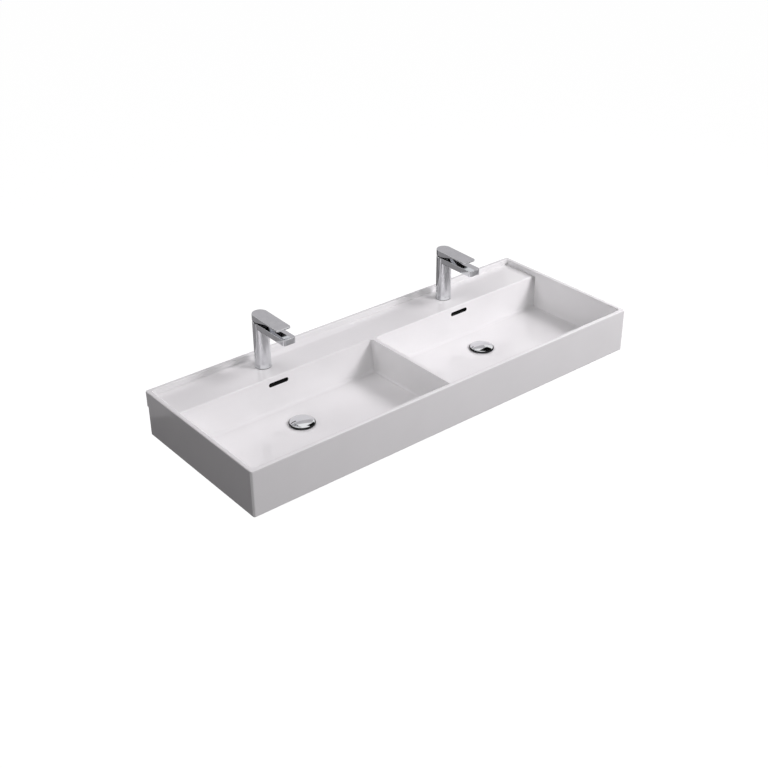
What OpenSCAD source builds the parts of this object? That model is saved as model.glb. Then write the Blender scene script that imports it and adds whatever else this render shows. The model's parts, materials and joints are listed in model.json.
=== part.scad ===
// Double washbasin for wall fixing: two bowls in one glazed ceramic shell, a tap deck
// behind them, a single-lever mixer tap and a push waste at each bowl.
// Origin: wall plane, middle of the width, at the height of the wall fixing holes.
// +X to the right, +Y into the wall, +Z up. The user stands on the -Y side.

/* [Basin] */
// Overall width of the basin
basin_w = 1200; // [1100:10:1400]
// Overall depth from the wall to the front
basin_d = 450; // [430:5:520]
// Height of the basin at the rim
basin_h = 120; // [115:1:150]
// Distance between the two taps, and between the two wastes
station_span = 600; // [560:10:640]
// Thickness of the rim and of the outer walls
rim_t = 11; // [10:0.5:14]
// Radius of the upright outer corners
corner_r = 5; // [3:0.5:8]
// Thickness of the wall between the bowls
divider_t = 10; // [8:0.5:14]
// Depth of the tap deck, from the wall to the edge of the bowls
deck_d = 120; // [118:1:130]
// Drop of the tap deck below the rim
deck_drop = 15; // [10:0.5:20]
// Thickness of the tap deck
deck_t = 11; // [9:0.5:14]
// Height of the bowl floor above the underside
floor_t = 13; // [12:0.5:16]
// Radius of the bowl corners and of the fillet round the floor
bowl_r = 10; // [8:0.5:14]
// Lean of the back wall of a bowl between deck and floor
back_lean = 8; // [4:0.5:10]
// Thickness of the back wall of a bowl at the deck
back_wall_t = 9; // [8:0.5:11]

/* [Wall side and underside] */
// Height of the lip that stands proud at the wall
lip_h = 42; // [34:1:50]
// Step between the lip and the lower rear face
lip_step = 5; // [3:0.5:7]
// Height of the rim above the wall fixing holes
fixing_drop = 60; // [56:1:66]
// Radius of a wall fixing hole
fixing_hole_r = 6; // [5:0.5:7]
// Distance between the two outer fixing holes
outer_fixing_span = 880; // [860:5:920]
// Distance between the two inner fixing holes
inner_fixing_span = 320; // [300:5:360]
// Width of the pad round a fixing hole
fixing_pad_w = 44; // [36:1:50]
// Reach of a pad below its fixing hole
fixing_pad_drop = 20; // [14:1:24]
// Thickness of the web between the two hollows under the deck
web_t = 12; // [10:1:16]
// Radius of the upright corners in a hollow
hollow_r = 8; // [5:0.5:12]
// Width of the foot band round the underside of a bowl
foot_w = 22; // [16:1:30]
// Height of the foot band
foot_h = 2.5; // [1.5:0.5:3.5]

/* [Overflow] */
// Length of the overflow slot
overflow_w = 58; // [50:1:62]
// Height of the overflow slot
overflow_h = 11; // [9:0.5:13]
// Height of the rim above the middle of the slot
overflow_drop = 35; // [32:1:40]
// Clear depth of the upright duct behind the slot
duct_depth = 12; // [10:0.5:13]
// Thickness of the duct walls
duct_skin = 8; // [6:0.5:9]
// Clear space in the duct beside each end of the slot
duct_side_room = 2; // [1:0.5:4]
// Width of the channel under the floor
channel_w = 36; // [30:1:40]
// Height of the channel under the floor
channel_h = 8; // [6:0.5:9]

/* [Waste] */
// Distance of the waste from the wall
waste_setback = 215; // [205:1:235]
// Radius of the waste hole
waste_hole_r = 23; // [22.5:0.25:24]
// Radius of the shallow dish round the waste
dish_r = 75; // [60:1:76]
// Depth of the dish
dish_depth = 2; // [1:0.25:2.5]
// Depth of the flange seat below the dish
seat_depth = 1.5; // [1:0.25:2]
// Radius of the waste flange
flange_r = 31.5; // [30:0.25:32]
// Space round the flange in its seat
seat_room = 1.5; // [1:0.25:2.5]
// Thickness of the ceramic boss round the waste hole
boss_t = 12.5; // [10:0.5:14]
// Thickness of the waste flange
flange_t = 2.5; // [2:0.25:3.5]
// Radius of the threaded waste tail
tail_r = 20.95; // [20.5:0.05:21.25]
// Radius of the bore of the tail
tail_bore_r = 17.5; // [17:0.25:18]
// Length of the tail below the flange seat
tail_len = 75; // [70:1:90]
// Depth of the relief groove in the tail's thread, below the waste nut
groove_t = 0.8; // [0.5:0.1:1.2]
// Height of the relief groove
groove_h = 2; // [1.5:0.25:3]
// Thickness of the seal under the flange
top_seal_t = 1; // [0.75:0.25:2]
// Thickness of the seal under the basin
bottom_seal_t = 5; // [3:0.5:6]
// Radius of the seal under the basin
bottom_seal_r = 30; // [28:0.5:32]
// Width across the flats of the waste nut
waste_nut_flats = 50; // [48:1:56]
// Height of the waste nut
waste_nut_h = 12; // [9:0.5:14]

/* [Waste cap] */
// Radius of the cap
cap_r = 33.5; // [33:0.25:34.5]
// Height of the cap from its lower edge to its crown
cap_h = 8; // [7:0.1:9]
// Height of the upright edge of the cap
cap_edge_h = 2.2; // [1.8:0.1:2.6]
// Depth of the hollow under the cap
cap_recess = 1.2; // [1:0.1:1.4]
// Width of the edge band under the cap
cap_band = 2; // [1.5:0.25:3]
// Travel of the cap between closed and open
cap_travel = 6; // [4:0.25:7]
// Radius of the push rod
push_rod_r = 4; // [3.5:0.1:4.5]
// Radius of the latch housing
latch_r = 7; // [6.5:0.25:8]
// Height of the bridge that carries the latch
bridge_h = 7; // [5:0.5:9]
// Thickness of the bridge arms
bridge_t = 3; // [2:0.25:4]

/* [Tap] */
// Distance of the tap axis from the wall
tap_setback = 57; // [54:0.5:60]
// Radius of the tap hole in the deck
tap_hole_r = 17.5; // [17.25:0.05:18]
// Radius of the tap column
column_r = 20.5; // [20:0.25:23]
// Height of the column above the deck
column_h = 125; // [115:1:145]
// Extra radius of the column at its foot
foot_flare = 1.5; // [0.5:0.25:3]
// Height of the flared foot
flare_h = 12; // [8:1:20]
// Bevel round the top of the column
column_edge = 1.5; // [1.3:0.1:1.8]
// Thickness of the column wall
casing_t = 3.3; // [3:0.1:3.5]
// Width of the spout
spout_w = 36; // [34:0.5:38]
// Thickness of the spout
spout_t = 16; // [15:0.5:18]
// Reach of the spout from the tap axis
spout_reach = 124; // [120:1:140]
// Radius of the spout tip corners
spout_corner_r = 7; // [4:0.5:9]
// Reach of the aerator from the tap axis
aerator_reach = 104; // [94:1:104]
// Outer radius of the aerator thread
aerator_r = 11; // [10.5:0.1:11.5]
// Length of the aerator thread
aerator_h = 9; // [8:0.5:10]
// Thickness of the aerator ring
aerator_t = 2.6; // [2:0.2:3]
// Height of the aerator below the spout
aerator_lip = 1; // [0.5:0.25:2]
// Radius of the water way in the spout
tunnel_r = 3.5; // [3:0.1:3.8]
// Thickness of the seal under the column
base_seal_t = 1; // [0.8:0.1:2]

/* [Lever] */
// Reach of the lever from the tap axis
lever_reach = 102; // [95:1:112]
// Gap between the column and the lever skirt
lever_gap = 4; // [4:0.25:5]
// Height of the lever above the lower edge of its skirt
lever_h = 17; // [17:0.5:20]
// Fall of the lever's top between rear and tip
lever_fall = 3; // [1:0.5:4]
// Thickness of the lever at its tip
lever_tip_t = 4.5; // [4:0.5:5.5]
// Reach of the wedge under the lever
lever_wedge = 54; // [48:1:64]
// Radius of the lever tip corners
lever_corner_r = 6; // [3:0.5:9]
// Thickness of the lever skirt
skirt_t = 3.5; // [3:0.1:3.5]
// Greatest lift of the lever, in degrees
lift_angle = 20; // [16:1:22]
// Depth of the lift pivot below the top of the column
pivot_drop = 13; // [12.5:0.25:13.5]

/* [Cartridge] */
// Radius of the cartridge housing
cartridge_r = 13.5; // [13.3:0.05:13.6]
// Depth of the cartridge seat below the top of the column
cartridge_drop = 40; // [38:0.5:44]
// Radius of the cartridge neck
neck_r = 11.5; // [11.3:0.05:11.6]
// Radius of the rotor in the neck
rotor_r = 9; // [8.8:0.05:9.1]
// Thickness of the fixed disc
fixed_disc_t = 3.5; // [3:0.25:4]
// Thickness of the moving disc
moving_disc_t = 3; // [2.5:0.25:3.5]
// Radius of the moving disc
moving_disc_r = 7.2; // [7:0.1:7.3]
// Width of the square lever stem
stem_w = 4.2; // [4:0.1:4.4]
// Radius of the stem's pivot pin
pin_r = 1.2; // [1:0.05:1.3]

/* [Tap fixing] */
// Radius of the fixing stud
stud_r = 4; // [3.5:0.1:4.2]
// Distance of the stud behind the tap axis
stud_offset = 10; // [9.5:0.25:10.5]
// Length of the stud below the deck
stud_drop = 52; // [46:1:64]
// Radius of a supply port
port_r = 4.5; // [4.2:0.1:4.7]
// Distance between the supply ports
port_span = 15; // [13:0.25:16]
// Distance of the ports in front of the tap axis
port_offset = 4; // [3:0.25:4.5]
// Depth of a supply port
port_depth = 12; // [10:0.5:16]
// Radius of the clamp washer
clamp_r = 24; // [22.5:0.5:26]
// Thickness of the clamp washer
clamp_t = 3; // [2:0.5:4]
// Thickness of the seal above the clamp washer
clamp_seal_t = 2; // [1.5:0.5:3]
// Width across the flats of the stud nut
stud_nut_flats = 13; // [12:0.5:14]
// Height of the stud nut
stud_nut_h = 10; // [7:0.5:14]

/* [Hidden] */
$fn = 64;

ceramic_colour = "white";
chrome_colour = "silver";
brass_colour = "goldenrod";
rubber_colour = "dimgray";
plastic_colour = "gainsboro";

// Overrun of every cut past the face that it opens
over = 1;
// Gap between fitted pieces that stay still
fit_gap = 0.05;
// Gap between pieces that turn or slide in each other
run_gap = 0.08;
// Gap between pieces that pass without touching
free_gap = 0.3;

// Heights of the basin, from the fixing holes
rim_z = fixing_drop;
under_z = rim_z - basin_h;
deck_z = rim_z - deck_drop;
deck_under_z = deck_z - deck_t;
floor_z = under_z + floor_t;
lip_z = rim_z - lip_h;
overflow_z = rim_z - overflow_drop;

// Places of the bowls and of what stands in them
half_w = basin_w / 2;
station_x = station_span / 2;
bowl_x0 = divider_t / 2;
bowl_x1 = half_w - rim_t;
bowl_y0 = rim_t - basin_d;
hollow_y0 = back_wall_t - deck_d;
hollow_y1 = -lip_step - rim_t;

// Overflow duct behind a bowl and channel under its floor
duct_w = overflow_w + duct_side_room * 2;
duct_y1 = hollow_y0 + duct_depth;
duct_back_y = duct_y1 + duct_skin;
channel_z0 = under_z - channel_h / 2;
duct_under_z = channel_z0 - duct_skin;
boss_r = waste_hole_r + boss_t;
seat_r = flange_r + seat_room;

// Waste, in heights from the flange seat
seat_z = floor_z - dish_depth - seat_depth;
flange_top = top_seal_t + flange_t;
boss_under = duct_under_z - seat_z;
waste_nut_top = boss_under - bottom_seal_t;
groove_top = waste_nut_top - waste_nut_h - groove_h / 2;
window_w = tail_r * 2 / 3;
window_top = channel_z0 + channel_h - seat_z;
bridge_top = boss_under;
hub_r = latch_r + bridge_t;
thread_r = latch_r * 0.8;
latch_top = top_seal_t + flange_t / 2;
mouth_r = tail_bore_r + latch_r + cap_band;
mouth_slope = flange_top / (mouth_r - tail_bore_r);

// Cap at rest, closed, in heights from the flange seat
cap_low = flange_top + free_gap;
cap_under = cap_low + cap_recess;
dome_rise = cap_h - cap_edge_h;
cap_sphere_r = (pow(cap_r, 2) + pow(dome_rise, 2)) / (dome_rise * 2);
rod_low = latch_top - cap_travel * 3;
rod_floor = rod_low - free_gap;
rod_tip_r = push_rod_r * 0.6;
rod_tip_h = cap_h - cap_recess - cap_edge_h;
cap_seal_r0 = tail_bore_r + cap_band;
cap_seal_r1 = cap_seal_r0 + cap_band * 1.5;
cap_seal_low = (cap_seal_r1 - tail_bore_r) * mouth_slope + free_gap;

// Tap, in heights from the deck
// Depth of the valve body's top below the top of the column
cover_step = 2;
casing_bore_r = column_r - casing_t;
liner_r = casing_bore_r - fit_gap * 2;
liner_neck_r = liner_r - casing_t / 2;
spout_under = column_h - spout_t;
aerator_top = spout_under + aerator_h - aerator_lip;
insert_r = aerator_r - aerator_t;
tunnel_z = column_h - spout_t / 2 - tunnel_r / 2;
seal_ring_r = (casing_bore_r - liner_neck_r) / 2 - fit_gap / 2;
seal_ring_at = (casing_bore_r + liner_neck_r) / 2;
upper_seal_z = tunnel_z + tunnel_r + seal_ring_r;
dome_skirt_z = upper_seal_z + seal_ring_r + fit_gap;
liner_low = -deck_t / 2;
liner_top = column_h - cover_step;

// Lever and its pivot
pivot_z = column_h - pivot_drop;
dome_base_r = column_r - column_edge - fit_gap * 2;
dome_r = norm([dome_base_r, pivot_drop]);
dome_t = casing_t * 0.6;
skirt_z = column_h + lever_gap;
lever_top = skirt_z + lever_h;
lever_room = free_gap * 4;
lever_roof = pivot_z + dome_r + lever_room;
lever_tip_top = lever_top - lever_fall;
stem_top = lever_top - lever_fall;
screw_r = stem_w * 0.6;
screw_z = (lever_roof + lever_top) / 2;
screw_len = screw_r * 4;
plug_len = skirt_t + lever_room;

// Cartridge
seat_low = column_h - cartridge_drop;
chamber_r = cartridge_r - stem_w / 2;
cartridge_base_t = fixed_disc_t * 2;
fixed_disc_z = seat_low + cartridge_base_t;
moving_disc_z = fixed_disc_z + fixed_disc_t + run_gap;
carrier_h = stem_w;
carrier_z = moving_disc_z + moving_disc_t;
carrier_top = carrier_z + carrier_h;
rotor_low = carrier_top + free_gap;
rotor_flange_t = stem_w;
cartridge_roof = rotor_low + rotor_flange_t + run_gap;
cartridge_shoulder = cartridge_roof + fixed_disc_t * 0.7;
neck_top = column_h - stem_w;
rotor_top = neck_top + free_gap * 3;
stem_low = carrier_z + free_gap * 3;
slot_w = stem_w + free_gap;
stem_half = stem_w / 2 / cos(lift_angle);
slot_front = (pivot_z - rotor_low) * tan(lift_angle) + stem_half + free_gap;
slot_back = (rotor_top - pivot_z) * tan(lift_angle) + stem_half + free_gap;
dome_hole_r = dome_r * sin(lift_angle) + stem_half + free_gap;

// Water ways in the valve body and the discs
duct_r = port_r * 0.53;
duct_x = port_span / 2 - port_r + duct_r + free_gap;
inlet_r = moving_disc_r / 4;
inlet_x = duct_x - inlet_r / 2;
inlet_y = port_offset * 0.85;
outlet_r = moving_disc_r / 3;
outlet_y = moving_disc_r / 2;
mixing_r = outlet_r + inlet_r / 2;
mixing_y = moving_disc_r / 3;

// Clamp under the deck
clamp_seal_z = -deck_t - clamp_seal_t;
clamp_z = clamp_seal_z - clamp_t;
stud_nut_z = clamp_z - stud_nut_h;
clamp_slot_w = port_span + port_r * 2 + clamp_t;

// Solid box between two corners
module block(low, high) {
    translate(low)
        cube(high - low);
}

// Upright rod between two heights
module rod(r, z0, z1) {
    translate([0, 0, z0])
        cylinder(r = r, h = z1 - z0);
}

// Upright ring between two heights
module ring(r_out, r_in, z0, z1) {
    difference() {
        rod(r_out, z0, z1);
        rod(r_in, z0 - over, z1 + over);
    }
}

// Rod along the Y axis between two places, at a height
module rod_along_y(r, y0, y1, z) {
    translate([0, y1, z])
        rotate([90, 0, 0])
            cylinder(r = r, h = y1 - y0);
}

// Upright hexagon over the given flats
module hexagon(flats, z0, z1) {
    translate([0, 0, z0])
        cylinder(d = flats / cos(30), h = z1 - z0, $fn = 6);
}

// Flat rectangle with round corners
module round_rectangle(low, high, r) {
    translate(low + [r, 0])
        square([high.x - low.x - r * 2, high.y - low.y]);
    translate(low + [0, r])
        square([high.x - low.x, high.y - low.y - r * 2]);
    for (x = [low.x + r, high.x - r], y = [low.y + r, high.y - r])
        translate([x, y])
            circle(r);
}

// Block with round upright corners
module round_block(low, high, r) {
    translate([0, 0, low.z])
        linear_extrude(high.z - low.z)
            round_rectangle([low.x, low.y], [high.x, high.y], r);
}

// Section of a trough from a0 to a1, with fillets at its floor and one wall leaning in
module trough(a0, a1, low, high, r, lean) {
    lean_angle = atan(lean / (high - low));
    fillet_a = a1 - lean + r * tan(lean_angle) - r / cos(lean_angle);
    polygon([
        [a0, high],
        [a0, low + r],
        [a0 + r, low],
        [fillet_a, low],
        [fillet_a + r * cos(lean_angle), low + r - r * sin(lean_angle)],
        [a1, high]
    ]);
    for (a = [a0 + r, fillet_a])
        translate([a, low + r])
            circle(r);
}

// Both sides of the basin, as mirror images
module both_sides() {
    children();
    mirror([1, 0, 0])
        children();
}

// Space of the right bowl below the deck
module bowl_space() {
    intersection() {
        round_block([bowl_x0, bowl_y0, under_z], [bowl_x1, -deck_d, deck_z + over], bowl_r);
        translate([bowl_x0 - over, 0, 0])
            rotate([90, 0, 90])
                linear_extrude(bowl_x1 - bowl_x0 + over * 2)
                    trough(bowl_y0, -deck_d, floor_z, deck_z, bowl_r, back_lean);
        translate([0, over - deck_d, 0])
            rotate([90, 0, 0])
                linear_extrude(basin_d - deck_d + over)
                    trough(bowl_x0, bowl_x1, floor_z, deck_z + over, bowl_r, 0);
    }
}

// Outside of the ceramic shell, with the wall lip and the fixing pads
module basin_outside() {
    round_block([-half_w, -basin_d, under_z], [half_w, -lip_step, rim_z], corner_r);
    round_block([-half_w, -basin_d, lip_z], [half_w, 0, rim_z], corner_r);
    both_sides()
        for (span = [outer_fixing_span, inner_fixing_span])
            translate([span / 2, 0, 0])
                block([-fixing_pad_w / 2, hollow_y1, -fixing_pad_drop],
                      [fixing_pad_w / 2, 0, lip_z + over]);
}

// Hollows under the deck and under the bowl floors
module basin_hollows() {
    round_block([web_t / 2, hollow_y0, under_z - over],
                [bowl_x1, hollow_y1, deck_under_z], hollow_r);
    round_block([bowl_x0 + foot_w, bowl_y0 + foot_w, under_z - over],
                [bowl_x1 - foot_w, -deck_d - foot_w, under_z + foot_h], bowl_r);
}

// Walls of the overflow duct and the boss round the waste hole
module duct_walls() {
    translate([station_x, 0, 0]) {
        block([-duct_w / 2 - duct_skin, hollow_y0 - over, duct_under_z],
              [duct_w / 2 + duct_skin, duct_back_y, deck_under_z + over]);
        block([-channel_w / 2 - duct_skin, -waste_setback, duct_under_z],
              [channel_w / 2 + duct_skin, duct_back_y, under_z + foot_h + over]);
        translate([0, -waste_setback, 0])
            rod(boss_r, duct_under_z, under_z + foot_h + over);
    }
}

// Space of the overflow slot, duct and channel
module duct_space() {
    translate([station_x, 0, 0]) {
        block([-duct_w / 2, hollow_y0, channel_z0], [duct_w / 2, duct_y1, deck_under_z]);
        block([-channel_w / 2, -waste_setback, channel_z0],
              [channel_w / 2, duct_y1, channel_z0 + channel_h]);
        translate([0, hollow_y0 + over, overflow_z])
            rotate([90, 0, 0])
                linear_extrude(deck_d + over * 2 + back_lean + hollow_y0)
                    round_rectangle([-overflow_w / 2, -overflow_h / 2],
                                    [overflow_w / 2, overflow_h / 2], overflow_h / 2 - fit_gap);
    }
}

// Holes for the waste, the tap and the wall fixings
module basin_holes() {
    translate([station_x, -waste_setback, 0]) {
        rod(waste_hole_r, duct_under_z - over, floor_z);
        rod(seat_r, seat_z, floor_z);
        translate([0, 0, floor_z - dish_depth])
            cylinder(r1 = seat_r, r2 = dish_r, h = dish_depth);
    }
    translate([station_x, -tap_setback, 0])
        rod(tap_hole_r, deck_under_z - over, deck_z + over);
    for (span = [outer_fixing_span, inner_fixing_span])
        translate([span / 2, 0, 0])
            rod_along_y(fixing_hole_r, hollow_y1 - over, over, 0);
}

module basin() {
    color(ceramic_colour)
        difference() {
            union() {
                difference() {
                    basin_outside();
                    round_block([-bowl_x1, bowl_y0, deck_z], [bowl_x1, -rim_t, rim_z + over],
                                bowl_r);
                    both_sides() {
                        bowl_space();
                        basin_hollows();
                    }
                }
                both_sides()
                    duct_walls();
            }
            both_sides() {
                duct_space();
                basin_holes();
            }
        }
}

// Puts a tap piece on the deck of the left (-1) or right (1) bowl
module at_tap(side) {
    translate([side * station_x, -tap_setback, deck_z])
        children();
}

// Outline of a plate with a straight body and round tip corners
module tongue(half, reach, r) {
    translate([-half, r - reach])
        square([half * 2, reach - r]);
    translate([r - half, -reach])
        square([(half - r) * 2, reach]);
    for (x = [r - half, half - r])
        translate([x, r - reach])
            circle(r);
}

module tap_body(side) {
    color(chrome_colour)
        at_tap(side)
            difference() {
                union() {
                    rod(column_r, base_seal_t, column_h - column_edge);
                    translate([0, 0, column_h - column_edge])
                        cylinder(r1 = column_r, r2 = column_r - column_edge, h = column_edge);
                    translate([0, 0, base_seal_t])
                        cylinder(r1 = column_r + foot_flare, r2 = column_r, h = flare_h);
                    translate([0, 0, spout_under])
                        linear_extrude(spout_t)
                            tongue(spout_w / 2, spout_reach, spout_corner_r);
                }
                rod(casing_bore_r, 0, column_h + over);
                rod_along_y(tunnel_r, -aerator_reach, 0, tunnel_z);
                translate([0, -aerator_reach, 0])
                    rod(aerator_r, spout_under - over, spout_under + aerator_h);
            }
}

module valve_body(side) {
    color(brass_colour)
        at_tap(side)
            difference() {
                union() {
                    rod(tap_hole_r - free_gap * 2, liner_low, base_seal_t);
                    rod(liner_r, base_seal_t, seat_low - cartridge_base_t);
                    rod(liner_neck_r, seat_low - cartridge_base_t, liner_top);
                }
                rod(cartridge_r + fit_gap, seat_low, liner_top + over);
                for (x = [-port_span / 2, port_span / 2])
                    translate([x, -port_offset, 0])
                        rod(port_r, liner_low - over, liner_low + port_depth);
                for (x = [-duct_x, duct_x])
                    translate([x, -port_offset, 0])
                        rod(duct_r, liner_low + port_depth - over, seat_low + over);
                translate([0, stud_offset, 0])
                    rod(stud_r + fit_gap, liner_low - over, liner_low + port_depth);
                rod_along_y(tunnel_r, 0, casing_bore_r, seat_low - tunnel_r);
                translate([0, outlet_y, 0])
                    rod(duct_r, seat_low - tunnel_r, seat_low + over);
            }
}

// Round sealing rings between the column and the valve body
module tap_seals(side) {
    color(rubber_colour)
        at_tap(side)
            for (z = [seat_low - cartridge_base_t + seal_ring_r, upper_seal_z])
                translate([0, 0, z])
                    rotate_extrude()
                        translate([seal_ring_at, 0])
                            circle(seal_ring_r);
}

module base_seal(side) {
    color(rubber_colour)
        at_tap(side)
            ring(column_r + foot_flare / 2, tap_hole_r, 0, base_seal_t);
}

// Round cover over the cartridge, a part of a sphere about the lift pivot
module dome(side) {
    color(chrome_colour)
        at_tap(side)
            difference() {
                union() {
                    intersection() {
                        translate([0, 0, pivot_z])
                            sphere(dome_r);
                        rod(dome_r, column_h, pivot_z + dome_r);
                    }
                    rod(liner_r, dome_skirt_z, column_h);
                }
                intersection() {
                    translate([0, 0, pivot_z])
                        sphere(dome_r - dome_t);
                    rod(liner_neck_r + fit_gap, dome_skirt_z - over, lever_top);
                }
                rod(dome_hole_r, liner_top, lever_top);
            }
}

// Two inlets and one outlet through the cartridge foot and the fixed disc
module disc_ports(z0, z1) {
    for (x = [-inlet_x, inlet_x])
        translate([x, -inlet_y, 0])
            rod(inlet_r, z0, z1);
    translate([0, outlet_y, 0])
        rod(outlet_r, z0, z1);
}

module cartridge(side) {
    color(plastic_colour)
        at_tap(side)
            difference() {
                union() {
                    rod(cartridge_r, seat_low, cartridge_shoulder);
                    rod(neck_r, cartridge_shoulder, neck_top);
                }
                rod(chamber_r, fixed_disc_z, cartridge_roof);
                rod(rotor_r + run_gap, cartridge_roof - over, neck_top + over);
                disc_ports(seat_low - over, fixed_disc_z + over);
            }
}

module cartridge_nut(side) {
    color(brass_colour)
        at_tap(side)
            ring(cartridge_r, neck_r + fit_gap, cartridge_shoulder, liner_top - stem_w / 2);
}

module fixed_disc(side) {
    color(ceramic_colour)
        at_tap(side)
            difference() {
                rod(chamber_r - fit_gap, fixed_disc_z, fixed_disc_z + fixed_disc_t);
                disc_ports(fixed_disc_z - over, moving_disc_z + over);
            }
}

// Disc that opens the ports, with the socket that the stem pushes
module moving_disc(side) {
    color(ceramic_colour)
        at_tap(side)
            difference() {
                union() {
                    rod(moving_disc_r, moving_disc_z, carrier_z);
                    block([-stem_w, -stem_w, carrier_z - over], [stem_w, stem_w, carrier_top]);
                }
                block([-slot_w / 2, -slot_w / 2 - free_gap * 2, carrier_z],
                      [slot_w / 2, slot_w / 2 + free_gap * 2, carrier_top + over]);
                translate([0, mixing_y, 0])
                    rod(mixing_r, moving_disc_z - over, moving_disc_z + moving_disc_t / 2);
            }
}

module rotor(side) {
    color(plastic_colour)
        at_tap(side)
            difference() {
                union() {
                    rod(chamber_r - run_gap, rotor_low, rotor_low + rotor_flange_t);
                    rod(rotor_r, rotor_low, rotor_top);
                }
                block([-slot_w / 2, -slot_front, rotor_low - over],
                      [slot_w / 2, slot_back, rotor_top + over]);
                translate([-rotor_r - over, 0, pivot_z])
                    rotate([0, 90, 0])
                        cylinder(r = pin_r + fit_gap / 2, h = (rotor_r + over) * 2);
            }
}

module pivot_pin(side) {
    color(chrome_colour)
        at_tap(side)
            translate([free_gap - rotor_r, 0, pivot_z])
                rotate([0, 90, 0])
                    cylinder(r = pin_r, h = (rotor_r - free_gap) * 2);
}

module stem(side) {
    color(brass_colour)
        at_tap(side)
            difference() {
                block([-stem_w / 2, -stem_w / 2, stem_low], [stem_w / 2, stem_w / 2, stem_top]);
                translate([-stem_w, 0, pivot_z])
                    rotate([0, 90, 0])
                        cylinder(r = pin_r + fit_gap, h = stem_w * 2);
            }
}

// Side view of the lever: a wedge at the column that thins to a plate
module lever_side() {
    polygon([
        [column_r, skirt_z],
        [column_r, lever_top],
        [-lever_reach, lever_tip_top],
        [-lever_reach, lever_tip_top - lever_tip_t],
        [-lever_wedge, lever_tip_top - lever_tip_t + lever_fall / 3],
        [-column_r / 2, skirt_z]
    ]);
}

module lever(side) {
    color(chrome_colour)
        at_tap(side)
            difference() {
                intersection() {
                    translate([0, 0, skirt_z - over])
                        linear_extrude(lever_h + over * 2) {
                            circle(column_r);
                            tongue(column_r, lever_reach, lever_corner_r);
                        }
                    translate([-column_r - over, 0, 0])
                        rotate([90, 0, 90])
                            linear_extrude((column_r + over) * 2)
                                lever_side();
                }
                rod(column_r - skirt_t, skirt_z - over, lever_roof);
                block([-stem_w / 2 - fit_gap, -stem_w / 2 - fit_gap, lever_roof - over],
                      [stem_w / 2 + fit_gap, stem_w / 2 + fit_gap, stem_top + fit_gap]);
                rod_along_y(screw_r + fit_gap, 0, column_r + over, screw_z);
            }
}

module lever_screw(side) {
    color(chrome_colour)
        at_tap(side)
            rod_along_y(screw_r, stem_w / 2, stem_w / 2 + screw_len, screw_z);
}

module lever_plug(side) {
    color(plastic_colour)
        at_tap(side)
            intersection() {
                rod_along_y(screw_r, column_r - plug_len, column_r, screw_z);
                rod(column_r, lever_roof, lever_top);
            }
}

module aerator_ring(side) {
    color(chrome_colour)
        at_tap(side)
            translate([0, -aerator_reach, 0])
                difference() {
                    rod(aerator_r - fit_gap, spout_under - aerator_lip, aerator_top);
                    rod(insert_r + fit_gap, spout_under - aerator_lip - over, aerator_top + over);
                }
}

// Flow straightener with two circles of fine holes
module aerator_insert(side) {
    color(plastic_colour)
        at_tap(side)
            translate([0, -aerator_reach, 0])
                difference() {
                    rod(insert_r, spout_under, aerator_top);
                    for (circle_share = [0.4, 0.75], turn = [0:30:330])
                        rotate([0, 0, turn])
                            translate([insert_r * circle_share, 0, 0])
                                rod(insert_r / 12, spout_under - over, aerator_top + over);
                }
}

module stud(side) {
    color(brass_colour)
        at_tap(side)
            translate([0, stud_offset, 0])
                rod(stud_r, -stud_drop, liner_low + port_depth - over);
}

// Plate open to the front, so that the supply hoses pass
module horseshoe(z0, z1) {
    difference() {
        rod(clamp_r, z0, z1);
        block([-clamp_slot_w / 2, -clamp_r - over, z0 - over],
              [clamp_slot_w / 2, stud_offset - stud_r - clamp_t, z1 + over]);
        translate([0, stud_offset, 0])
            rod(stud_r + free_gap, z0 - over, z1 + over);
    }
}

module clamp_seal(side) {
    color(rubber_colour)
        at_tap(side)
            horseshoe(clamp_seal_z, -deck_t);
}

module clamp_washer(side) {
    color(chrome_colour)
        at_tap(side)
            horseshoe(clamp_z, clamp_seal_z);
}

module stud_nut(side) {
    color(brass_colour)
        at_tap(side)
            translate([0, stud_offset, 0])
                difference() {
                    hexagon(stud_nut_flats, stud_nut_z, clamp_z);
                    rod(stud_r + fit_gap, stud_nut_z - over, clamp_z + over);
                }
}

// Puts a waste piece on the flange seat of the left (-1) or right (1) bowl
module at_waste(side) {
    translate([side * station_x, -waste_setback, seat_z])
        children();
}

module waste_body(side) {
    color(chrome_colour)
        at_waste(side)
            difference() {
                union() {
                    difference() {
                        union() {
                            rod(flange_r, top_seal_t, flange_top);
                            rod(tail_r, -tail_len, flange_top);
                        }
                        rod(tail_bore_r, -tail_len - over, flange_top + over);
                        cylinder(r1 = tail_bore_r, r2 = mouth_r, h = flange_top);
                        ring(tail_r + over, tail_r - groove_t, groove_top - groove_h, groove_top);
                        for (turn = [0, 90])
                            rotate([0, 0, turn])
                                block([-window_w / 2, -tail_r - over, window_top - channel_h],
                                      [window_w / 2, tail_r + over, window_top]);
                    }
                    rod(hub_r, bridge_top - bridge_h, bridge_top);
                    for (turn = [0, 120, 240])
                        rotate([0, 0, turn])
                            block([(thread_r + hub_r) / 2, -bridge_t / 2, bridge_top - bridge_h],
                                  [(tail_bore_r + tail_r) / 2, bridge_t / 2, bridge_top]);
                }
                rod(thread_r + fit_gap, bridge_top - bridge_h - over, bridge_top + over);
            }
}

module waste_top_seal(side) {
    color(rubber_colour)
        at_waste(side)
            ring(flange_r - top_seal_t, tail_r + free_gap, 0, top_seal_t);
}

module waste_bottom_seal(side) {
    color(rubber_colour)
        at_waste(side)
            ring(bottom_seal_r, tail_r + free_gap, waste_nut_top, boss_under);
}

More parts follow.
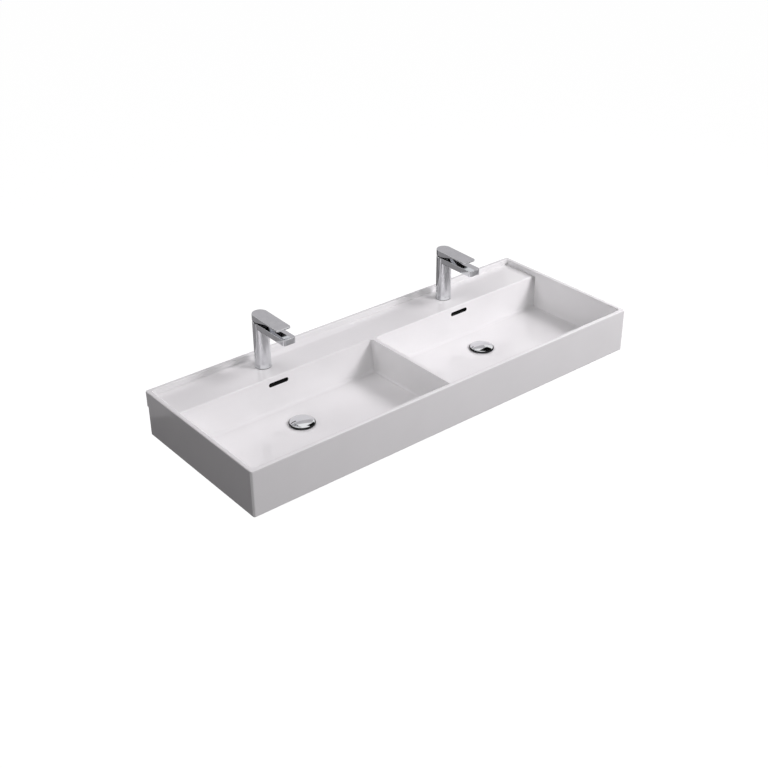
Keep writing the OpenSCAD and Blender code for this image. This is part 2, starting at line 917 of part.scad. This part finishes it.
module waste_nut(side) {
    color(brass_colour)
        at_waste(side)
            difference() {
                hexagon(waste_nut_flats, waste_nut_top - waste_nut_h, waste_nut_top);
                rod(tail_r + fit_gap, waste_nut_top - waste_nut_h - over, waste_nut_top + over);
            }
}

// Fixed housing of the push latch, screwed into the bridge of the waste
module latch(side) {
    color(plastic_colour)
        at_waste(side)
            difference() {
                union() {
                    rod(latch_r, bridge_top, latch_top);
                    rod(thread_r, bridge_top - bridge_h - over, bridge_top);
                }
                rod(push_rod_r + run_gap, rod_floor, latch_top + over);
            }
}

module push_rod(side) {
    color(brass_colour)
        at_waste(side) {
            rod(push_rod_r, rod_low, cap_under);
            rod(rod_tip_r, rod_low, cap_under + rod_tip_h);
        }
}

// Cap with an upright edge and a crown that is a part of a large sphere
module cap(side) {
    color(chrome_colour)
        at_waste(side)
            translate([0, 0, cap_low])
                difference() {
                    rotate_extrude()
                        intersection() {
                            square([cap_r, cap_h]);
                            translate([0, cap_h - cap_sphere_r])
                                circle(cap_sphere_r, $fn = 720);
                        }
                    rod(cap_r - cap_band, -over, cap_recess);
                    rod(rod_tip_r + fit_gap, 0, cap_recess + rod_tip_h + fit_gap);
                }
}

module cap_seal(side) {
    color(rubber_colour)
        at_waste(side)
            ring(cap_seal_r1, cap_seal_r0, cap_seal_low, cap_under);
}

basin();
tap_body(-1);  // left_tap_body
valve_body(-1);  // left_valve_body
tap_seals(-1);  // left_tap_seals
base_seal(-1);  // left_base_seal
dome(-1);  // left_dome
cartridge(-1);  // left_cartridge
cartridge_nut(-1);  // left_cartridge_nut
fixed_disc(-1);  // left_fixed_disc
moving_disc(-1);  // left_moving_disc
rotor(-1);  // left_rotor
pivot_pin(-1);  // left_pivot_pin
stem(-1);  // left_stem
lever(-1);  // left_lever
lever_screw(-1);  // left_lever_screw
lever_plug(-1);  // left_lever_plug
aerator_ring(-1);  // left_aerator_ring
aerator_insert(-1);  // left_aerator_insert
stud(-1);  // left_stud
clamp_seal(-1);  // left_clamp_seal
clamp_washer(-1);  // left_clamp_washer
stud_nut(-1);  // left_stud_nut
waste_body(-1);  // left_waste_body
waste_top_seal(-1);  // left_waste_top_seal
waste_bottom_seal(-1);  // left_waste_bottom_seal
waste_nut(-1);  // left_waste_nut
latch(-1);  // left_latch
push_rod(-1);  // left_push_rod
cap(-1);  // left_cap
cap_seal(-1);  // left_cap_seal
tap_body(1);  // right_tap_body
valve_body(1);  // right_valve_body
tap_seals(1);  // right_tap_seals
base_seal(1);  // right_base_seal
dome(1);  // right_dome
cartridge(1);  // right_cartridge
cartridge_nut(1);  // right_cartridge_nut
fixed_disc(1);  // right_fixed_disc
moving_disc(1);  // right_moving_disc
rotor(1);  // right_rotor
pivot_pin(1);  // right_pivot_pin
stem(1);  // right_stem
lever(1);  // right_lever
lever_screw(1);  // right_lever_screw
lever_plug(1);  // right_lever_plug
aerator_ring(1);  // right_aerator_ring
aerator_insert(1);  // right_aerator_insert
stud(1);  // right_stud
clamp_seal(1);  // right_clamp_seal
clamp_washer(1);  // right_clamp_washer
stud_nut(1);  // right_stud_nut
waste_body(1);  // right_waste_body
waste_top_seal(1);  // right_waste_top_seal
waste_bottom_seal(1);  // right_waste_bottom_seal
waste_nut(1);  // right_waste_nut
latch(1);  // right_latch
push_rod(1);  // right_push_rod
cap(1);  // right_cap
cap_seal(1);  // right_cap_seal
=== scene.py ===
"""Looks of the double washbasin: glazed bowls, chrome taps and waste caps, in the row frame's metres."""
import json
import math
import bmesh
import bpy
from mathutils import Matrix, Vector


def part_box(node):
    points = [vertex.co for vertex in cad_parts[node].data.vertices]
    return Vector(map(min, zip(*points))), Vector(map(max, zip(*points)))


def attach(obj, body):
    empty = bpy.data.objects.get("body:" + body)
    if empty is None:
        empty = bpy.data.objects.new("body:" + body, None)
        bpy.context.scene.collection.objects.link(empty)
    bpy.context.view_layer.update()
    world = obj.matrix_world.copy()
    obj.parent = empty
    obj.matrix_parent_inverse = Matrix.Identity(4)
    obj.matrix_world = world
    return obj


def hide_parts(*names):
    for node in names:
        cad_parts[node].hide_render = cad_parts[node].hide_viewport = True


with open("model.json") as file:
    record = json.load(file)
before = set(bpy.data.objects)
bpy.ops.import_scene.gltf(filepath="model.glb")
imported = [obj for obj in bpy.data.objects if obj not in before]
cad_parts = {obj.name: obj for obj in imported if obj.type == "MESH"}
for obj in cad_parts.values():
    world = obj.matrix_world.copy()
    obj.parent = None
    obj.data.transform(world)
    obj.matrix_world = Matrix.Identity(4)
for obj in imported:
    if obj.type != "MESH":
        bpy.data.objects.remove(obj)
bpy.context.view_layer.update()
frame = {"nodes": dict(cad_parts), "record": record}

MM = 0.001
SIDES = {"left": -0.3, "right": 0.3}
WASTE_Y = -0.215

# Sizes of the basin in millimetres, as its solid has them
HALF_LENGTH, FRONT_Y, RIM_Z, BASE_Z = 600, -450, 60, -60
LEDGE_Y, LEDGE_Z = -120, 45
LEDGE_ENDS = (16, 578)
HOLLOW_X, HOLLOW_Z = 592, 34
OVERFLOW_X, OVERFLOW_HALF, OVERFLOW_Z = 300, 31.5, (-73, 34.5)
DUCT_Y, SLOT_Y = (-111.5, -98.5), (-127.5, -98)

# Rounding of edges in millimetres, and the turn in degrees from which an edge counts as sharp
RIM_ROUND, CORNER_ROUND, LEDGE_ROUND, METAL_ROUND = 2.6, 3.5, 4, 0.8
SHARP_CERAMIC, SHARP_CASING, SHARP_LEVER, SHARP_SHADING = 40, 60, 40, 30
CAP_STEPS = 96

# Radius and height of the waste cap's outline, from its crown round the edge to its hollow
CAP_OUTLINE = (
    (0, 8), (8, 7.8), (16, 7.2), (22, 6.3), (26, 5.4), (29, 4.5), (31, 3.6), (32.3, 2.7), (33.1, 1.7),
    (33.5, 0.8), (33.5, 0), (31.5, 0), (31.5, 1.2), (0, 1.2))
# Beyond this radius the cap's edge is painted near-black: painted dark reflection and painted shade
CAP_PAINTED_DARK_RADIUS = 30.6


# Camera, solved from the basin's straight edges

LENS = 56.07
AZIMUTH, PITCH, ROLL = math.radians(39.157), math.radians(30.069), math.radians(-0.431)
CAMERA_AT = Vector((-1.7089, -2.2621, 1.4940))

forward = Vector((
    math.sin(AZIMUTH) * math.cos(PITCH), math.cos(AZIMUTH) * math.cos(PITCH), -math.sin(PITCH)))
level = forward.cross(Vector((0, 0, 1))).normalized()
upright = level.cross(forward)
across = level * math.cos(ROLL) + upright * math.sin(ROLL)
over = upright * math.cos(ROLL) - level * math.sin(ROLL)
camera = bpy.data.objects.new("camera", bpy.data.cameras.new("camera"))
camera.data.lens = LENS
camera.data.sensor_width = 36
camera.data.clip_start = 0.05
turn = Matrix((across, over, -forward)).transposed().to_4x4()
camera.matrix_world = Matrix.Translation(CAMERA_AT) @ turn
bpy.context.collection.objects.link(camera)
bpy.context.scene.camera = camera


# Shader maths

class Field:
    """A socket of a material, so that masks and mixtures can be written as sums and products."""

    def __init__(self, tree, socket=None):
        self.tree = tree
        self.socket = socket

    def make(self, kind, settings=None, inputs=None, out=0):
        """Any node: its settings first, then the values or links of its sockets."""
        node = self.tree.nodes.new(kind)
        for name, value in (settings or {}).items():
            if name == "stops":
                while len(node.color_ramp.elements) < len(value):
                    node.color_ramp.elements.new(0.5)
                for stop, (place, shade) in zip(node.color_ramp.elements, value):
                    stop.position = place
                    stop.color = (*shade, 1)
            else:
                setattr(node, name, value)
        for name, value in (inputs or {}).items():
            if isinstance(value, Field):
                self.tree.links.new(value.socket, node.inputs[name])
            else:
                node.inputs[name].default_value = value
        return Field(self.tree, node.outputs[out]) if node.outputs else None

    def maths(self, operation, first, second):
        return self.make("ShaderNodeMath", {"operation": operation}, {0: first, 1: second})

    def __add__(self, other):
        return self.maths("ADD", self, other)

    def __radd__(self, other):
        return self.maths("ADD", other, self)

    def __sub__(self, other):
        return self.maths("SUBTRACT", self, other)

    def __rsub__(self, other):
        return self.maths("SUBTRACT", other, self)

    def __mul__(self, other):
        return self.maths("MULTIPLY", self, other)

    def __rmul__(self, other):
        return self.maths("MULTIPLY", other, self)


def place(field):
    """Object coordinates, which are the row frame's metres on every piece."""
    return field.make("ShaderNodeTexCoord", out="Object")


def noise(field, scale, detail, stretch):
    """Soft patches, the finer the larger the scale."""
    at = field.make("ShaderNodeMapping", inputs={"Vector": place(field), "Scale": stretch})
    return field.make("ShaderNodeTexNoise", inputs={"Vector": at, "Scale": scale, "Detail": detail})


def shades(field, mask, dark, light):
    """A colour between the two, over the middle of the mask's range."""
    return field.make("ShaderNodeValToRGB", {"stops": [(0.3, dark), (0.7, light)]}, {"Fac": mask})


def finish_of(name, fixed, dark, light, patch_scale, rough, rough_spread, bump, stretch=(1, 1, 1)):
    """A finish that varies slightly in colour and roughness, with a bump of (scale, strength, depth)."""
    material = bpy.data.materials.new(name)
    material.use_nodes = True
    field = Field(material.node_tree)
    shader = next(n for n in material.node_tree.nodes if n.type == "BSDF_PRINCIPLED")
    for socket, value in fixed.items():
        shader.inputs[socket].default_value = value
    patches = noise(field, patch_scale, 3.0, stretch)
    colour = shades(field, patches, dark, light)
    roughness = (patches - 0.5) * rough_spread + rough
    field.tree.links.new(colour.socket, shader.inputs["Base Color"])
    field.tree.links.new(roughness.socket, shader.inputs["Roughness"])
    scale, strength, depth = bump
    height = noise(field, scale, 2.0, stretch)
    normal = field.make("ShaderNodeBump", inputs={
        "Strength": strength, "Distance": depth, "Height": height})
    field.tree.links.new(normal.socket, shader.inputs["Normal"])
    return material


FINISHES = {
    # Chrome painted near-black: painted shade and painted dark reflection for the cap edges and the domes
    "painted_dark_chrome": finish_of(
        "chrome_painted_dark", {"Metallic": 1.0},
        dark=(0.022, 0.022, 0.023), light=(0.036, 0.036, 0.038),
        patch_scale=60, rough=0.12, rough_spread=0.05, bump=(700, 0.02, 0.05 * MM)),
    # Near-black: a painted shade for the inside of the overflow duct and slot
    "overflow": finish_of(
        "overflow_inside", {"Specular IOR Level": 0.2},
        dark=(0.012, 0.012, 0.012), light=(0.02, 0.02, 0.02),
        patch_scale=60, rough=0.8, rough_spread=0.1, bump=(300, 0.1, 0.1 * MM)),
    "glazed_white": finish_of(
        "white_glaze", {"Specular IOR Level": 0.5, "Coat Weight": 0.6, "Coat Roughness": 0.03},
        dark=(0.87, 0.87, 0.868), light=(0.90, 0.90, 0.898),
        patch_scale=9, rough=0.16, rough_spread=0.05, bump=(26, 0.12, 0.4 * MM)),
    "bare_ceramic": finish_of(
        "unglazed_ceramic", {"Specular IOR Level": 0.35},
        dark=(0.70, 0.685, 0.665), light=(0.78, 0.765, 0.745),
        patch_scale=14, rough=0.72, rough_spread=0.14, bump=(180, 0.25, 0.3 * MM)),
    "chrome": finish_of(
        "polished_chrome", {"Metallic": 1.0},
        dark=(0.70, 0.71, 0.73), light=(0.76, 0.77, 0.785),
        patch_scale=60, rough=0.055, rough_spread=0.04, bump=(700, 0.02, 0.05 * MM)),
    "brass": finish_of(
        "turned_brass", {"Metallic": 1.0},
        dark=(0.55, 0.40, 0.16), light=(0.72, 0.55, 0.26),
        patch_scale=220, rough=0.32, rough_spread=0.16, bump=(900, 0.12, 0.1 * MM), stretch=(1, 1, 6)),
    "steel": finish_of(
        "stainless_steel", {"Metallic": 1.0},
        dark=(0.46, 0.46, 0.47), light=(0.60, 0.60, 0.61),
        patch_scale=300, rough=0.34, rough_spread=0.12, bump=(1200, 0.12, 0.1 * MM), stretch=(1, 8, 1)),
    "rubber": finish_of(
        "black_rubber", {"Specular IOR Level": 0.35},
        dark=(0.018, 0.018, 0.018), light=(0.035, 0.035, 0.035),
        patch_scale=180, rough=0.68, rough_spread=0.2, bump=(900, 0.2, 0.1 * MM)),
    "grey_plastic": finish_of(
        "grey_plastic", {"Specular IOR Level": 0.45},
        dark=(0.27, 0.275, 0.285), light=(0.34, 0.345, 0.355),
        patch_scale=150, rough=0.45, rough_spread=0.15, bump=(1100, 0.1, 0.08 * MM)),
    "white_plastic": finish_of(
        "white_plastic", {"Specular IOR Level": 0.45},
        dark=(0.74, 0.74, 0.73), light=(0.80, 0.80, 0.79),
        patch_scale=150, rough=0.4, rough_spread=0.12, bump=(1100, 0.1, 0.08 * MM)),
    "plug_plastic": finish_of(
        "plug_plastic", {"Specular IOR Level": 0.5},
        dark=(0.22, 0.22, 0.23), light=(0.28, 0.28, 0.29),
        patch_scale=150, rough=0.25, rough_spread=0.1, bump=(900, 0.06, 0.06 * MM)),
    "disc_ceramic": finish_of(
        "lapped_ceramic", {"Specular IOR Level": 0.5},
        dark=(0.70, 0.70, 0.67), light=(0.78, 0.78, 0.75),
        patch_scale=260, rough=0.2, rough_spread=0.1, bump=(1400, 0.05, 0.04 * MM)),
}

slot_of = {part["node"]: part["material_slot"] for part in frame["record"]["subparts"]}
body_of = {node: body for body, nodes in frame["record"]["behaviour"]["bodies"].items() for node in nodes}
# The domes under the levers take the near-black chrome: painted shade from the lever above
painted_shade_domes = {side + "_dome": "painted_dark_chrome" for side in SIDES}
for node, thing in frame["nodes"].items():
    thing.data.materials.clear()
    thing.data.materials.append(FINISHES[painted_shade_domes.get(node, slot_of[node])])


# Pieces

def settle(shape, name, node):
    """Makes a piece from a bmesh, welded shut: it rides on its node's body and stands for the node."""
    bmesh.ops.remove_doubles(shape, verts=shape.verts, dist=0.001 * MM)
    mesh = bpy.data.meshes.new(name)
    shape.to_mesh(mesh)
    shape.free()
    piece = bpy.data.objects.new(name, mesh)
    bpy.context.collection.objects.link(piece)
    mesh.shade_smooth()
    mesh.set_sharp_from_angle(angle=math.radians(SHARP_SHADING))
    mesh.materials.append(FINISHES[slot_of[node]])
    weigh = piece.modifiers.new("even_shading", "WEIGHTED_NORMAL")
    weigh.keep_sharp = True
    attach(piece, body_of[node])
    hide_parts(node)
    return piece


def merged(node):
    """A copy of a node's mesh, joined up, with its flat faces made whole."""
    shape = bmesh.new()
    shape.from_mesh(frame["nodes"][node].data)
    bmesh.ops.remove_doubles(shape, verts=shape.verts, dist=0.002 * MM)
    bmesh.ops.dissolve_limit(shape, angle_limit=math.radians(0.05), verts=shape.verts, edges=shape.edges)
    return shape


def sharp_edges(shape, angle=SHARP_CERAMIC, where=None):
    """Edges that turn by more than the angle, and whose ends in millimetres meet the condition."""
    limit = math.radians(angle)
    return [e for e in shape.edges if len(e.link_faces) == 2 and e.calc_face_angle(0) > limit
            and (where is None or where(*(v.co / MM for v in e.verts)))]


def ease(shape, edges, width, segments):
    """Rounds the given edges."""
    bmesh.ops.bevel(shape, geom=edges, offset=width, segments=segments, profile=0.5, affect="EDGES",
                    material=-1, clamp_overlap=False, loop_slide=False)


def turned(outline, x, y):
    """A closed solid, turned from an outline that starts and ends on the upright axis."""
    shape = bmesh.new()
    points = [shape.verts.new((x + r * MM, y, z * MM)) for r, z in outline]
    edges = [shape.edges.new(pair) for pair in zip(points, points[1:])]
    bmesh.ops.spin(shape, geom=points + edges, cent=(x, y, 0), axis=(0, 0, 1),
                   angle=math.tau, steps=CAP_STEPS, use_merge=True)
    bmesh.ops.remove_doubles(shape, verts=shape.verts, dist=0.001 * MM)
    bmesh.ops.recalc_face_normals(shape, faces=shape.faces)
    return shape


def ledge_edges(shape):
    """The straight edge where the tap ledge drops into the bowls."""
    return sharp_edges(shape, where=lambda a, b: max(abs(a.z - LEDGE_Z), abs(b.z - LEDGE_Z)) < 0.01
                       and max(abs(a.y - LEDGE_Y), abs(b.y - LEDGE_Y)) < 0.05)


def on_rim(a, b):
    """The edges at the top of the basin."""
    return min(a.z, b.z) > RIM_Z - 0.5


def on_base(a, b):
    """The outer edge of the underside, along the ends and the front."""
    margin = 5.1
    at_end = min(abs(a.x), abs(b.x)) > HALF_LENGTH - margin
    at_front = max(a.y, b.y) < FRONT_Y + margin
    return max(a.z, b.z) < BASE_Z + 0.5 and min(a.y, b.y) < -1 and (at_end or at_front)


def bare(at, normal):
    """The underside, the back and the hollows under the ledge, which carry no glaze."""
    in_hollow = at.z < HOLLOW_Z and LEDGE_Y + 2 < at.y < -1 and abs(at.x) < HOLLOW_X
    return normal.z < -0.9 or (at.y > -6 and normal.y > 0.9) or in_hollow


def in_overflow(at, normal):
    """The duct behind the bowl's wall, and the sides of the slot in that wall, which get painted shade.
    """
    beside = abs(abs(at.x) - OVERFLOW_X) < OVERFLOW_HALF and OVERFLOW_Z[0] < at.z < OVERFLOW_Z[1]
    in_duct = DUCT_Y[0] < at.y < DUCT_Y[1]
    in_slot = SLOT_Y[0] < at.y < SLOT_Y[1] and normal.y > -0.5
    return beside and (in_duct or in_slot)


def basin():
    """The glazed basin, with its rim, front corners, base and ledge rounded."""
    shape = merged("basin")
    first, last = LEDGE_ENDS
    for x in (-last, -first, first, last):
        round_it = {part for edge in ledge_edges(shape) for face in edge.link_faces
                    for part in (face, *face.edges, *face.verts)}
        bmesh.ops.bisect_plane(shape, geom=list(round_it), plane_co=(x * MM, 0, 0), plane_no=(1, 0, 0))
    ledge = [e for e in ledge_edges(shape)
             if all(first - 0.5 < abs(v.co.x / MM) < last + 0.5 for v in e.verts)]
    ease(shape, ledge, LEDGE_ROUND * MM, 4)
    corners = sharp_edges(shape, where=lambda a, b: abs(a.z - b.z) > 100 and a.y < FRONT_Y + 1)
    ease(shape, corners, CORNER_ROUND * MM, 5)
    rims = sharp_edges(shape, where=lambda a, b: on_rim(a, b) or on_base(a, b))
    ease(shape, rims, RIM_ROUND * MM, 4)
    glaze = settle(shape, "basin_glaze", "basin")
    glaze.data.materials.append(FINISHES["overflow"])
    glaze.data.materials.append(FINISHES["bare_ceramic"])
    for face in glaze.data.polygons:
        at = face.center / MM
        if bare(at, face.normal):
            face.material_index = 2
        # The duct and slot faces get the near-black painted shade
        if in_overflow(at, face.normal):
            face.material_index = 1


def metal(node, name, angle):
    """A chrome piece, with the edges sharper than the angle rounded."""
    shape = merged(node)
    ease(shape, sharp_edges(shape, angle), METAL_ROUND * MM, 3)
    settle(shape, name, node)


def waste_cap(side, x):
    """The domed lid of the waste, with a band of painted dark reflection and painted shade round its
    edge.
    """
    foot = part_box(side + "_cap")[0].z / MM
    shape = turned([(r, foot + up) for r, up in CAP_OUTLINE], x, WASTE_Y)
    lid = settle(shape, side + "_waste_cap", side + "_cap")
    lid.data.materials.append(FINISHES["painted_dark_chrome"])
    for face in lid.data.polygons:
        # Faces beyond the radius get the painted dark reflection and painted shade
        if (face.center - Vector((x, WASTE_Y, face.center.z))).length > CAP_PAINTED_DARK_RADIUS * MM:
            face.material_index = 1


basin()
for side, x in SIDES.items():
    metal(side + "_tap_body", side + "_tap_casing", SHARP_CASING)
    metal(side + "_lever", side + "_lever_handle", SHARP_LEVER)
    waste_cap(side, x)


# Studio

def panel(name, centre, size, facing, material, seen=False):
    """A flat stage board, turned to face a point; unless it is to be seen, only reflections show it."""
    shape = bmesh.new()
    bmesh.ops.create_grid(shape, x_segments=1, y_segments=1, size=0.5)
    mesh = bpy.data.meshes.new(name)
    shape.to_mesh(mesh)
    shape.free()
    board = bpy.data.objects.new(name, mesh)
    bpy.context.collection.objects.link(board)
    board.location = centre
    board.scale = (size[0], size[1], 1)
    board.rotation_euler = (Vector(facing) - Vector(centre)).to_track_quat("Z", "Y").to_euler()
    mesh.materials.append(material)
    if not seen:
        board.visible_camera = False
        board.visible_diffuse = False
        board.visible_shadow = False


def light_paths(field):
    """1 for what is seen directly, in a mirror or through glass, and 0 for diffuse light."""
    direct, mirrored, through = (
        field.make("ShaderNodeLightPath", out=ray)
        for ray in ("Is Camera Ray", "Is Glossy Ray", "Is Transmission Ray"))
    return field.maths("MINIMUM", direct + mirrored + through, 1.0)


bpy.context.scene.view_settings.view_transform = "Standard"
world = bpy.data.worlds.new("studio")
bpy.context.scene.world = world
world.use_nodes = True
world.node_tree.nodes.clear()
air = Field(world.node_tree)
ambient = air.make("ShaderNodeBackground", inputs={"Color": (1, 0.97, 1, 1), "Strength": 0.05})
backdrop = air.make("ShaderNodeBackground", inputs={"Color": (1, 1, 1, 1), "Strength": 1.0})
both = air.make("ShaderNodeMixShader", inputs={0: light_paths(air), 1: ambient, 2: backdrop})
air.make("ShaderNodeOutputWorld", inputs={"Surface": both})

# The floor shows white with a soft shadow, gives little light back and is clear from beneath
floor_paint = bpy.data.materials.new("floor_paint")
floor_paint.use_nodes = True
floor_paint.node_tree.nodes.clear()
ground = Field(floor_paint.node_tree)
dull = ground.make("ShaderNodeBsdfDiffuse", inputs={"Color": (0.06, 0.06, 0.06, 1)})
pale = ground.make("ShaderNodeBsdfDiffuse", inputs={"Color": (1, 1, 1, 1)})
glow = ground.make("ShaderNodeEmission", inputs={"Color": (1, 1, 1, 1), "Strength": 1.12})
shown = ground.make("ShaderNodeMixShader", inputs={0: 0.12, 1: glow, 2: pale})
front_side = ground.make("ShaderNodeMixShader", inputs={0: light_paths(ground), 1: dull, 2: shown})
beneath = ground.make("ShaderNodeNewGeometry", out="Backfacing")
clear = ground.make("ShaderNodeBsdfTransparent")
mixed = ground.make("ShaderNodeMixShader", inputs={0: beneath, 1: front_side, 2: clear})
ground.make("ShaderNodeOutputMaterial", inputs={"Surface": mixed})
panel("floor", (0, 0, -0.79), (24, 24), (0, 0, 5), floor_paint, seen=True)


def board_paint(name, glow=None):
    """Black, or glowing in the tint of the stage, for boards that show in reflections only."""
    material = bpy.data.materials.new(name)
    material.use_nodes = True
    sockets = material.node_tree.nodes["Principled BSDF"].inputs
    sockets["Base Color"].default_value = (0.01, 0.01, 0.01, 1)
    sockets["Specular IOR Level"].default_value = 0.0
    if glow:
        sockets["Emission Color"].default_value = (0.56, 0.545, 0.56, 1)
        sockets["Emission Strength"].default_value = glow
    return material


black = board_paint("flag_paint")
grey = board_paint("grey_paint", 1.0)
shade = board_paint("shade_paint", 0.52)
dark = board_paint("dark_paint", 0.3)
bowls = (0, -0.2, 0)
panel("left_flag", (-3.0, 0.6, 0.9), (3.4, 2.8), (0, -0.2, 0.1), black)
panel("right_flag", (2.9, -1.4, 0.5), (1.2, 2.2), (0, -0.2, 0.1), black)
panel("front_flag", (-1.9, -2.9, 2.4), (2.4, 1.6), bowls, black)
panel("right_high_flag", (1.5, 0.2, 1.8), (1.3, 1.4), bowls, black)
panel("left_high_flag", (-0.15, 1.5, 1.9), (0.9, 0.9), bowls, dark)
panel("low_back_board", (-0.8, 0.95, -0.35), (3.4, 0.9), (-0.3, -0.2, 0.05), shade)
for x in (0.12, 0.72):  # one for each column's right edge
    panel("edge_flag", (x, 0.8, -0.25), (0.3, 0.8), (x - 0.3, -0.1, 0.05), black)
panel("under_flag", (0.1, 0.25, -0.55), (2.4, 1.4), (0.1, 0.25, 1), black)
panel("back_board", (0.9, 3.2, 2.2), (5.0, 2.4), (0, 0, 0.2), grey)


def lamp(name, at, aim, size, power):
    """A soft lamp, which shows neither to the camera nor in reflections."""
    light = bpy.data.lights.new(name, "AREA")
    light.shape = "RECTANGLE"
    light.size, light.size_y = size
    light.energy = power
    light.color = (1, 0.965, 1)
    holder = bpy.data.objects.new(name, light)
    bpy.context.collection.objects.link(holder)
    holder.location = at
    holder.rotation_euler = (Vector(aim) - Vector(at)).to_track_quat("-Z", "Y").to_euler()
    holder.visible_glossy = False
    holder.visible_camera = False


lamp("key_lamp", (1.5, -2.1, 1.75), bowls, (0.8, 0.8), 55)
lamp("right_lamp", (2.3, -0.6, 1.5), bowls, (1.2, 1.2), 17)
lamp("left_lamp", (-3.4, -0.2, 0.6), (-0.6, -0.2, 0), (1.4, 1.4), 15)
lamp("front_fill", (-0.55, -1.5, 1.3), (0.1, -0.25, 0), (0.8, 0.8), 5.8)
lamp("rear_fill", (-0.5, 0.3, 1.2), (0.2, -0.25, 0), (0.8, 0.8), 4.6)
lamp("back_lamp", (0.6, 3.2, 0.3), (0, 0, 0), (1.6, 1.0), 22)
lamp("under_lamp", (0, -0.2, -0.7), bowls, (1.2, 0.6), 2.0)
